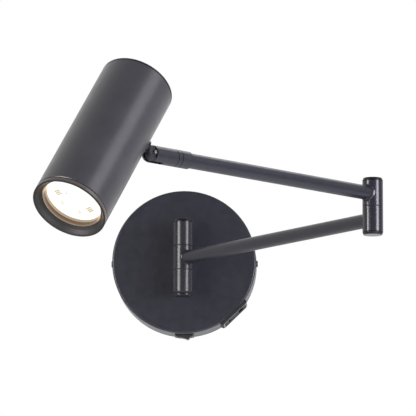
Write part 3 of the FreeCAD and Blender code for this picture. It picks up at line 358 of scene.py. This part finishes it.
def make_lens_material():
    """Frosted front of a lit lamp: near white, with faint warm clouds."""
    material = new_material("lit_lens", (0.3, 0.3, 0.29), 0.45, 0.3)
    glow = noise(material, 110, 1)
    link(material, ramp(material, glow, (0.85, 0.82, 0.74), (0.85, 0.85, 0.84), 0.3, 0.5), "Emission Color")
    shader_of(material).inputs["Emission Strength"].default_value = 1.0
    bump(material, noise(material, 3000, 2), 0.2, 0.00002)
    return material


def make_phosphor():
    """Yellow emitters that glow through the lens."""
    material = new_material("phosphor", (0.12, 0.09, 0.03), 0.5)
    tone = noise(material, 1500, 2)
    link(material, ramp(material, tone, (0.29, 0.25, 0.1), (0.54, 0.48, 0.26)), "Emission Color")
    shader_of(material).inputs["Emission Strength"].default_value = 1.0
    return material


# The lit rim's tones of painted light and shade, by their share of the way in from its front edge to the
# reflector's step
# a painted highlight at the edge, brown, a painted shade line, then a lighter tan where the lens lights the
# rim
RIM_LIGHT_AND_SHADE_BANDS = (
    (0.0, (0.24, 0.21, 0.17)), (0.1, (0.21, 0.18, 0.14)), (0.2, (0.1, 0.07, 0.045)),
    (0.46, (0.09, 0.062, 0.04)), (0.52, (0.04, 0.026, 0.016)), (0.58, (0.04, 0.026, 0.016)),
    (0.66, (0.22, 0.185, 0.14)), (0.86, (0.29, 0.25, 0.19)),
)
PAINTED_GLOW_REACH = 6
PAINTED_GLOW_PLACES = [RIM @ Vector((x, y, LENS_FRONT - 2)) for x, y in ((17.9, -12.1), (-19.1, 10.1))]


def make_lit_rim():
    """The lamp's rim and reflector step in warm bands of painted light and shade, with a painted amber glow
    near two places.
    """
    material = new_material("lit_rim", (0.06, 0.045, 0.03), 0.45, 0.15)
    ahead = (RIM @ moved(z=-40)).to_translation()
    (start, first), *between, (end, last) = RIM_LIGHT_AND_SHADE_BANDS
    bands = ramp(material, distance(material, ahead, 50.2, 55.3), first, last, start, end)
    for position, color in between:
        bands.node.color_ramp.elements.new(position).color = opaque(color)
    link(material, bands, "Base Color")
    # painted light: the rim emits an amber glow near two places, though it is no lamp
    glow, other = (distance(material, place, PAINTED_GLOW_REACH, 0) for place in PAINTED_GLOW_PLACES)
    glow = larger(material.node_tree, glow, other)
    link(material, ramp(material, glow, (0.006, 0.004, 0.003), (0.75, 0.42, 0.16), 0, 1), "Emission Color")
    shader_of(material).inputs["Emission Strength"].default_value = 1.0
    link(material, ramp(material, noise(material, 400), 0.4, 0.5), "Roughness")
    return material


PAINT = satin("satin_black_coat")
# The lampshade's coat: the plate's satin black, painted lighter as painted light
LAMPSHADE_PAINT_LIGHTENED = coated("satin_black_lampshade_lightened", (0.035, 0.034, 0.041), 0.31, specular=0.55)
BARREL_GLOSS = make_barrel_enamel()
ELBOW_GLOSS = coated("black_elbow_enamel", (0.018, 0.017, 0.026), 0.2, GLOSS_PEEL, 0.42)
CAP_BLACK = coated("black_cap", (0.008, 0.008, 0.011), 0.2, GLOSS_PEEL, 0.3)
END_BLACK = moulded("end_cap_black", (0.004, 0.004, 0.005), 0.5)
PLASTIC = moulded("black_moulding", (0.016, 0.016, 0.019), 0.36)
# painted highlight: the USB frame is a lighter grey than the module it rings
FRAME_PLASTIC_HIGHLIGHTED = moulded("frame_moulding_painted_highlight", (0.07, 0.07, 0.08), 0.3)
DARK_NICKEL = plated("dark_nickel", (0.04, 0.04, 0.042), 0.4)
BRASS = plated("brass", (0.72, 0.52, 0.26), 0.25)
RING_PAINT = make_ring_paint()
LENS = make_lens_material()
PHOSPHOR = make_phosphor()
LIT_RIM = make_lit_rim()

SLOT_FINISHES = {
    "black_paint": PAINT,
    "black_screw": coated("blackened_screw", (0.02, 0.02, 0.024), 0.28, SCREW_PEEL),
    "zinc_plate": plated("zinc_plate", (0.6, 0.61, 0.6), 0.34),
    "plated_hardware": plated("nickel_plate", (0.66, 0.63, 0.58), 0.24),
    "brass": BRASS,
    "nylon_washer": moulded("nylon", (0.008, 0.008, 0.009), 0.5),
    "black_plastic": PLASTIC,
    "white_plastic": moulded("natural_moulding", (0.72, 0.7, 0.65), 0.45),
    "supply_case": moulded("case_moulding", (0.05, 0.05, 0.055), 0.5),
    "circuit_board": moulded("circuit_board", (0.02, 0.12, 0.05), 0.35),
    "lamp_body": moulded("lamp_body", (0.75, 0.74, 0.72), 0.3),
    "lamp_lens": LENS,
    "lamp_pins": plated("turned_aluminium", (0.75, 0.75, 0.75), 0.3),
    "ceramic": moulded("ceramic", (0.8, 0.77, 0.7), 0.6, 3500),
}

NODE_FINISHES = {
    "canopy": make_canopy_paint(),
    "usb_module_housing": moulded("module_moulding", (0.014, 0.014, 0.018), 0.6, specular=0.16),
    "usb_a_shell": DARK_NICKEL,
    "usb_c_shell": DARK_NICKEL,
    "swivel_fork": make_fork_paint(),
    "tilt_screw": plated("dull_nickel", (0.2, 0.2, 0.2), 0.45),
    "shade_tongue": CAP_BLACK,
    "shade_tube": LAMPSHADE_PAINT_LIGHTENED,
}


def dress_nodes():
    """Gives every CAD node its own finish, or its slot's, with gloss on the painted barrels and elbow."""
    for part in frame["record"]["subparts"]:
        name = part["node"]
        finish = SLOT_FINISHES[part["material_slot"]]
        if finish is PAINT and "barrel" in name:
            finish = BARREL_GLOSS
        if finish is PAINT and "elbow" in name:
            finish = ELBOW_GLOSS
        for place in frame["nodes"][name].material_slots:
            place.material = NODE_FINISHES.get(name, finish)


# Forms, in mm in their own place

def rounded(outline):
    """An outline whose corners turn into arcs where a third number gives their radius."""
    points = []
    for index, (across, up, *radius) in enumerate(outline):
        corner = Vector((across, up))
        if not radius:
            points.append(corner)
            continue
        before = (Vector(outline[index - 1][:2]) - corner).normalized()
        after = (Vector(outline[(index + 1) % len(outline)][:2]) - corner).normalized()
        half = before.angle(after) / 2
        middle = corner + (before + after).normalized() * radius[0] / math.sin(half)
        reach = radius[0] / math.tan(half)
        first = (corner + before * reach - middle).normalized()
        last = (corner + after * reach - middle).normalized()
        for step in range(ARC_STEPS + 1):
            points.append(middle + first.slerp(last, step / ARC_STEPS) * radius[0])
    return points


def turns(around):
    """The angles that divide a full turn evenly."""
    return [step * math.tau / around for step in range(around)]


def skin(loops, closed=False):
    """A surface over loops of points, whose ends are flat, or meet where it is closed."""
    shape = bmesh.new()
    rings = [[shape.verts.new(point) for point in loop] for loop in loops]
    following = rings[1:] + rings[:1] if closed else rings[1:]
    for near, far in zip(rings, following):
        for index in range(len(near)):
            after = (index + 1) % len(near)
            shape.faces.new((near[index], near[after], far[after], far[index]))
    if not closed:
        shape.faces.new(rings[0])
        shape.faces.new(rings[-1])
    bmesh.ops.recalc_face_normals(shape, faces=shape.faces)
    return shape


def lathe(outline, around=AROUND, closed=False):
    """A turned form: an outline of (radius, height) swept round Z."""
    return skin([[(radius * math.cos(turn), radius * math.sin(turn), up) for turn in turns(around)]
                 for radius, up in outline], closed)


def block(low, high, bevel):
    """A box between two corners with bevelled edges."""
    shape = bmesh.new()
    bmesh.ops.create_cube(shape, size=1)
    low, high = Vector(low), Vector(high)
    shape.transform(Matrix.Translation((low + high) / 2) @ Matrix.Diagonal((*(high - low), 1)))
    bmesh.ops.bevel(shape, geom=shape.edges[:], offset=bevel, segments=1, profile=0.5, affect="EDGES")
    return shape


def prism(outline, low, high, bevel):
    """An outline in the XY plane raised between two heights, with both rims rounded."""
    shape = skin([[(x, y, up) for x, y in outline] for up in (low, high)])
    rims = [edge for edge in shape.edges if abs(edge.verts[0].co.z - edge.verts[1].co.z) < bevel / 100]
    bmesh.ops.bevel(shape, geom=rims, offset=bevel, segments=3, profile=0.5, affect="EDGES")
    return shape


def window(half_x, half_y, corner, up):
    """A loop round a rectangle with round corners, at a height."""
    corners = [(half_x, half_y, corner), (-half_x, half_y, corner), (-half_x, -half_y, corner),
               (half_x, -half_y, corner)]
    return [(x, y, up) for x, y in rounded(corners)]


FLARE_LIP = 0.5             # the steep lip's width, where there is room
FLARE_SLOPE = 0.6           # the cone's rise to its run
FLARE_EDGE = 0.06           # radius of its edges


def root_flare(tube, reach, rise):
    """A steep lip and a cone round the line where a tube along X leaves a barrel along Z."""
    wide = tube + reach
    lip = min(reach - 0.15, FLARE_LIP)
    top = rise + FLARE_SLOPE * (reach - lip)
    loops = []
    for turn in turns(AROUND):
        foot, seat = (math.sqrt(BARREL_RADIUS ** 2 - (radius * math.cos(turn)) ** 2)
                      for radius in (wide, tube))
        outline = rounded([(wide, foot - 0.4), (wide, foot + 0.1, FLARE_EDGE),
                           (wide - lip, foot + rise, FLARE_EDGE), (tube + 0.05, foot + top, FLARE_EDGE),
                           (tube - 0.3, foot + top), (tube - 0.3, seat - 0.6)])
        loops.append([(along, out * math.cos(turn), out * math.sin(turn)) for out, along in outline])
    return skin(loops, closed=True)


def new_piece(name, shapes, place, body, finish, replaces=()):
    """One scene piece from one or more forms, set in its place and tied to its body."""
    whole = bmesh.new()
    mesh = bpy.data.meshes.new(name)
    for shape in shapes:
        shape.to_mesh(mesh)
        shape.free()
        whole.from_mesh(mesh)
    whole.transform(Matrix.Scale(MM, 4) @ place)
    whole.to_mesh(mesh)
    whole.free()
    mesh.polygons.foreach_set("use_smooth", [True] * len(mesh.polygons))
    mesh.set_sharp_from_angle(angle=math.radians(SHARP_ANGLE))
    mesh.materials.append(finish)
    piece = bpy.data.objects.new(name, mesh)
    bpy.context.scene.collection.objects.link(piece)
    piece.modifiers.new("even_normals", "WEIGHTED_NORMAL").keep_sharp = True
    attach(piece, body)
    if replaces:
        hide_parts(*replaces)


# Pieces: an outline's points are (radius, height) or (across, up), with a corner's radius third

def make_caps():
    """The barrels' four caps: a steep bevel up to the end, or a groove and a rim under the wall barrel."""
    wide = BARREL_RADIUS
    plug = [(4, -3.6), (4, 0), (wide - 0.4, 0)]
    plain = plug + [(wide, 0.2, 0.08), (wide, 0.5, 0.2), (wide - 0.8, 2.4, 0.25), (5, 2.4)]
    rimmed = plug + [(wide - 0.05, 0.15, 0.08), (wide - 0.5, 0.7, 0.1), (wide - 0.15, 0.85, 0.08),
                     (wide - 0.15, 1.5, 0.15), (wide - 0.7, 2.1, 0.2), (5, 2.1)]
    segment_end = moved(z=SEGMENT_LENGTH / 2)
    barrel_end = moved(z=SEGMENT_PITCH + SEGMENT_LENGTH / 2)
    for name, place, body, outline in (
            ("wall_barrel_top_cap", BARREL @ barrel_end, "wall_base", plain),
            ("wall_barrel_bottom_cap", BARREL_UNDER @ barrel_end, "wall_base", rimmed),
            ("elbow_top_cap", UPPER_ARM @ segment_end, "upper_arm", plain),
            ("elbow_bottom_cap", ELBOW @ turned("X", 180) @ segment_end, "lower_arm", plain)):
        new_piece(name + "_turned", [lathe(rounded(outline))], place, body, CAP_BLACK, (name,))


def make_root_rings():
    """Flares round the roots of both arms and of the two posts."""
    for name, place, tube, reach, rise, body in (
            ("lower_arm_root", LOWER_ARM, TUBE_RADIUS, 0.45, 0.8, "lower_arm"),
            ("lower_arm_elbow_root", ELBOW, TUBE_RADIUS, 0.8, 1.2, "lower_arm"),
            ("upper_arm_root", UPPER_ARM, TUBE_RADIUS, 1.1, 1.35, "upper_arm"),
            ("upper_post_root", BARREL_BACK @ moved(z=SEGMENT_PITCH), POST_RADIUS, 0.8, 1.2, "wall_base"),
            ("lower_post_root", BARREL_BACK @ moved(z=-SEGMENT_PITCH), POST_RADIUS, 0.8, 1.2, "wall_base")):
        new_piece(name, [root_flare(tube, reach, rise)], place, body, ELBOW_GLOSS)


def make_shade_ends():
    """Closed end and front ring of the shade, with soft edges that catch the light."""
    wide, bore = SHADE_RADIUS, SHADE_BORE
    seat = CLOSED_END - 1.6
    foot = seat - 5
    cap = rounded([(bore - 1.5, seat), (bore - 1.5, foot), (bore, foot), (bore, seat), (wide, seat, 0.15),
                   (wide, CLOSED_END, 0.45), (20, CLOSED_END)])
    new_piece("shade_end_cap_turned", [lathe(cap, SHADE_AROUND)], SHADE, "head", END_BLACK,
              ("shade_end_cap",))
    depth, sleeve, shelf = 3.9, 11, 6
    thin, opening = bore - 0.8, 22.7
    ring = rounded([(wide - 1.1, 0, 0.3), (wide, 0, 0.65), (wide, depth, 0.25), (bore, depth),
                    (bore, sleeve, 0.2), (thin, sleeve, 0.2), (thin, shelf), (opening, shelf, 0.15),
                    (opening, shelf - 0.8, 0.35)])
    new_piece("front_ring_turned", [lathe(ring, SHADE_AROUND, closed=True)], RIM, "head",
              RING_PAINT, ("front_ring",))


# Groups of emitters behind the lens: across, up, how many each way, and half an emitter's width
EMITTERS = ((9.2, -8.4, 3, 0.5), (-12.9, 3.9, 3, 0.5), (6.4, -2.5, 1, 0.5), (0.2, -12.4, 2, 0.35),
            (-11.6, -5.6, 2, 0.35))
EMITTER_PITCH = 1.6


def make_lamp_front():
    """Domed lens, the lamp's rim round it in painted warm light and shade, and the emitters that show
    through.
    """
    edge, crown = 20, 0.35
    dome = [(LENS_RADIUS, LENS_FRONT + 1.5), (LENS_RADIUS, LENS_FRONT)]
    dome += [(radius, LENS_FRONT - crown * (1 - (radius / edge) ** 2))
             for radius in (edge, 18, 15, 12, 9, 6, 3)]
    new_piece("bulb_lens_domed", [lathe(dome)], RIM, "head", LENS, ("bulb_lens",))
    inner, outer = LENS_RADIUS + 0.1, LENS_RADIUS + 1.05
    rim = rounded([(inner + 0.18, LENS_FRONT), (inner, LENS_FRONT, 0.05), (inner, 7.6, 0.05),
                   (inner + 0.15, 7.4, 0.05), (inner + 0.15, 6.2, 0.1), (inner + 0.4, 5.45, 0.15),
                   (outer, 5.45, 0.15), (outer, 6.05), (inner + 0.22, 6.3, 0.02)])
    new_piece("bulb_rim_bead", [lathe(rim, closed=True)], RIM, "head", LIT_RIM)
    tiles = []
    front = LENS_FRONT - 0.5
    for across, up, rows, half in EMITTERS:
        for number in range(rows * rows):
            x = across + (number % rows - (rows - 1) / 2) * EMITTER_PITCH
            y = up + (number // rows - (rows - 1) / 2) * EMITTER_PITCH
            tiles.append(block((x - half, y - half, front), (x + half, y + half, LENS_FRONT), 0.05))
    new_piece("bulb_emitters", tiles, RIM, "head", PHOSPHOR)


def make_usb_frame():
    """The moulded frame round the USB module's face, whose soft edge catches the light, and whose lighter
    grey is a painted highlight.
    """
    half_x, half_y, corner = 11.7, 12.9, 0.9
    width, rise, sunk = 1.0, 0.45, 0.2
    outline = rounded([(0, -sunk), (0, rise, 0.3), (-width, rise, 0.15), (-width, -sunk)])
    loops = [window(half_x + across, half_y + across, corner + across / 2, up) for across, up in outline]
    place = MODULE @ moved(x=MODULE_FACE, z=MODULE_MIDDLE) @ turned("Y", 90)
    new_piece("usb_module_frame", [skin(loops, closed=True)], place, "wall_base",
              FRAME_PLASTIC_HIGHLIGHTED)


def make_usb_contacts():
    """Gold contact strips on both sockets' tongues."""
    tip = MODULE_FACE - 1.5
    half, length = 0.5, 6
    under, over = USB_A_PLACE - 0.12, USB_A_PLACE + 0.05
    wide = []
    for aside in (-3.5, -1, 1, 3.5):
        place = MODULE_MIDDLE + aside
        wide.append(block((tip - length, under, place - half), (tip, over, place + half), 0.04))
    new_piece("usb_a_contacts", wide, MODULE, "wall_base", BRASS)
    half, length = 0.14, 3.4
    count, pitch = 12, 0.5
    fine = []
    for side in (-1, 1):
        under, over = (USB_C_PLACE + side * 0.4 + skirt for skirt in (-0.05, 0.05))
        for number in range(count):
            place = MODULE_MIDDLE + (number - (count - 1) / 2) * pitch
            fine.append(block((tip - length, under, place - half), (tip, over, place + half), 0.02))
    new_piece("usb_c_contacts", fine, MODULE, "wall_base", BRASS)


def make_bezel():
    """The switch's housing with its rounded frame, which stands on the plate's edge."""
    neck_x, neck_y, depth = 6.6, 4.4, 10.95
    half_x, half_y, corner = 8.0, 5.25, 1.2
    seat, rise, width = 0.05, 1.65, 1.9
    loops = [window(neck_x, neck_y, 0.3, up) for up in (-depth, seat)]
    frame_outline = rounded([(0, seat), (0, rise, 0.55), (-width, rise, 0.25), (-width, 0)])
    loops += [window(half_x + across, half_y + across, max(corner + across, 0.4), up)
              for across, up in frame_outline[:-1]]
    loops.append(window(6.1, 3.85, 0.4, -5.2))
    new_piece("switch_bezel", [skin(loops)], SWITCH, "wall_base", PLASTIC,
              ("switch_housing",))


def make_rocker():
    """The rocker: round flanks about its pivot and a dished face between two raised ends."""
    reach, corner, foot = 5.9, 4.4, -1.6
    floor, dip, half_width = 3.9, 0.5, 3.7
    start, end = math.asin(foot / reach), math.asin(corner / reach)
    right = [(reach * math.cos(turn), reach * math.sin(turn))
             for turn in (start + (end - start) * step / ROCKER_STEPS for step in range(ROCKER_STEPS + 1))]
    across = reach * math.cos(end)
    shares = [1 - step / DISH_STEPS for step in range(1, 2 * DISH_STEPS)]
    dish = [(across * share, floor + dip * share ** 2) for share in shares]
    left = [(-x, y) for x, y in reversed(right)]
    shape = prism(right + dish + left, -half_width, half_width, 0.3)
    new_piece("switch_rocker_dished", [shape], ROCKER @ turned("X", 90), "rocker", PLASTIC,
              ("switch_rocker",))


# Studio

def make_camera():
    """The photograph's own camera, at the place that fits its outlines."""
    pitch, yaw, roll = (math.radians(angle) for angle in (CAMERA_PITCH, CAMERA_YAW, CAMERA_ROLL))
    ahead = Vector((math.sin(yaw) * math.cos(pitch), math.cos(yaw) * math.cos(pitch), math.sin(pitch)))
    right = Vector((math.cos(yaw), -math.sin(yaw), 0))
    up = right.cross(ahead)
    right, up = right * math.cos(roll) + up * math.sin(roll), up * math.cos(roll) - right * math.sin(roll)
    data = bpy.data.cameras.new("camera")
    data.sensor_width = SENSOR_WIDTH
    data.sensor_fit = "HORIZONTAL"
    data.lens = FOCAL_PIXELS / FRAME_PIXELS * SENSOR_WIDTH
    data.clip_end = CAMERA_REACH
    camera = bpy.data.objects.new("camera", data)
    bpy.context.scene.collection.objects.link(camera)
    facing = Matrix((right, up, -ahead)).transposed().to_4x4()
    camera.matrix_world = Matrix.Translation(Vector(CAMERA_PLACE) * MM) @ facing
    bpy.context.scene.camera = camera


def make_softbox(name, place, target, size, power, tint, lights_dull):
    """A rectangular area lamp that looks at a point; it may light only what is glossy."""
    data = bpy.data.lights.new(name, "AREA")
    data.shape = "RECTANGLE"
    data.size, data.size_y = size
    data.energy = power
    data.color = tint
    lamp = bpy.data.objects.new(name, data)
    bpy.context.scene.collection.objects.link(lamp)
    lamp.visible_diffuse = lights_dull
    lamp.location = place
    lamp.rotation_euler = (Vector(target) - Vector(place)).to_track_quat("-Z", "Z").to_euler()


def make_lamp_glow():
    """The warm light that the reflector lamp throws on the shade's mouth."""
    data = bpy.data.lights.new("lamp_glow", "AREA")
    data.shape = "DISK"
    data.size = 2 * LENS_RADIUS * MM
    data.energy = LAMP_GLOW
    data.color = LAMP_TINT
    lamp = bpy.data.objects.new("lamp_glow", data)
    bpy.context.scene.collection.objects.link(lamp)
    place = RIM @ Vector((0, 0, LENS_FRONT - 0.6)) * MM
    lamp.matrix_world = Matrix.Translation(place) @ RIM.to_3x3().to_4x4()
    lamp.visible_camera = False
    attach(lamp, "head")


def make_world():
    """A white studio: full white where it is seen, softer where it lights, dim before the lamp in gloss."""
    world = bpy.data.worlds.new("studio")
    world.use_nodes = True
    bpy.context.scene.world = world
    tree = world.node_tree
    rays = tree.nodes.new("ShaderNodeLightPath")
    seen = larger(tree, rays.outputs["Is Camera Ray"], rays.outputs["Is Transmission Ray"])
    # the white sweep hangs behind the lamp and comes round its left side
    place = tree.nodes.new("ShaderNodeTexCoord")
    toward = tree.nodes.new("ShaderNodeVectorMath")
    toward.operation = "DOT_PRODUCT"
    toward.inputs[1].default_value = SWEEP_SIDE
    tree.links.new(place.outputs["Generated"], toward.inputs[0])
    sweep = map_range(tree, toward.outputs["Value"], SWEEP_START, SWEEP_END, ROOM_LIGHT, SWEEP_LIGHT)
    lit = mixed(tree, "FLOAT", rays.outputs["Is Glossy Ray"], WORLD_LIGHT, sweep)
    back = tree.nodes["Background"]
    back.inputs["Color"].default_value = (1, 1, 1, 1)
    tree.links.new(mixed(tree, "FLOAT", seen, lit, 1.0), back.inputs["Strength"])


def make_floor():
    """A plain pale floor well below the lamp, which gives way to the white background further out."""
    mesh = bpy.data.meshes.new("floor")
    half = FLOOR_SIZE / 2
    corners = [(x, y, FLOOR_HEIGHT) for x, y in ((-half, -half), (half, -half), (half, half), (-half, half))]
    mesh.from_pydata(corners, [], [(0, 1, 2, 3)])
    floor = bpy.data.objects.new("floor", mesh)
    bpy.context.scene.collection.objects.link(floor)
    material = new_material("pale_floor", (0.86, 0.86, 0.86), 0.8, 0.2)
    tree = material.node_tree
    clear = tree.nodes.new("ShaderNodeBsdfTransparent")
    blend = tree.nodes.new("ShaderNodeMixShader")
    middle = Vector((0, 0, FLOOR_HEIGHT)) / MM
    tree.links.new(distance(material, middle, FLOOR_FULL / MM, FLOOR_CLEAR / MM), blend.inputs["Fac"])
    tree.links.new(shader_of(material).outputs["BSDF"], blend.inputs[1])
    tree.links.new(clear.outputs["BSDF"], blend.inputs[2])
    tree.links.new(blend.outputs["Shader"], tree.nodes["Material Output"].inputs["Surface"])
    mesh.materials.append(material)


make_camera()
dress_nodes()
make_caps()
make_root_rings()
make_shade_ends()
make_lamp_front()
make_usb_frame()
make_usb_contacts()
make_bezel()
make_rocker()
make_world()
make_floor()
make_lamp_glow()
for softbox in SOFTBOXES:
    make_softbox(*softbox)

bpy.context.scene.view_settings.view_transform = "Standard"
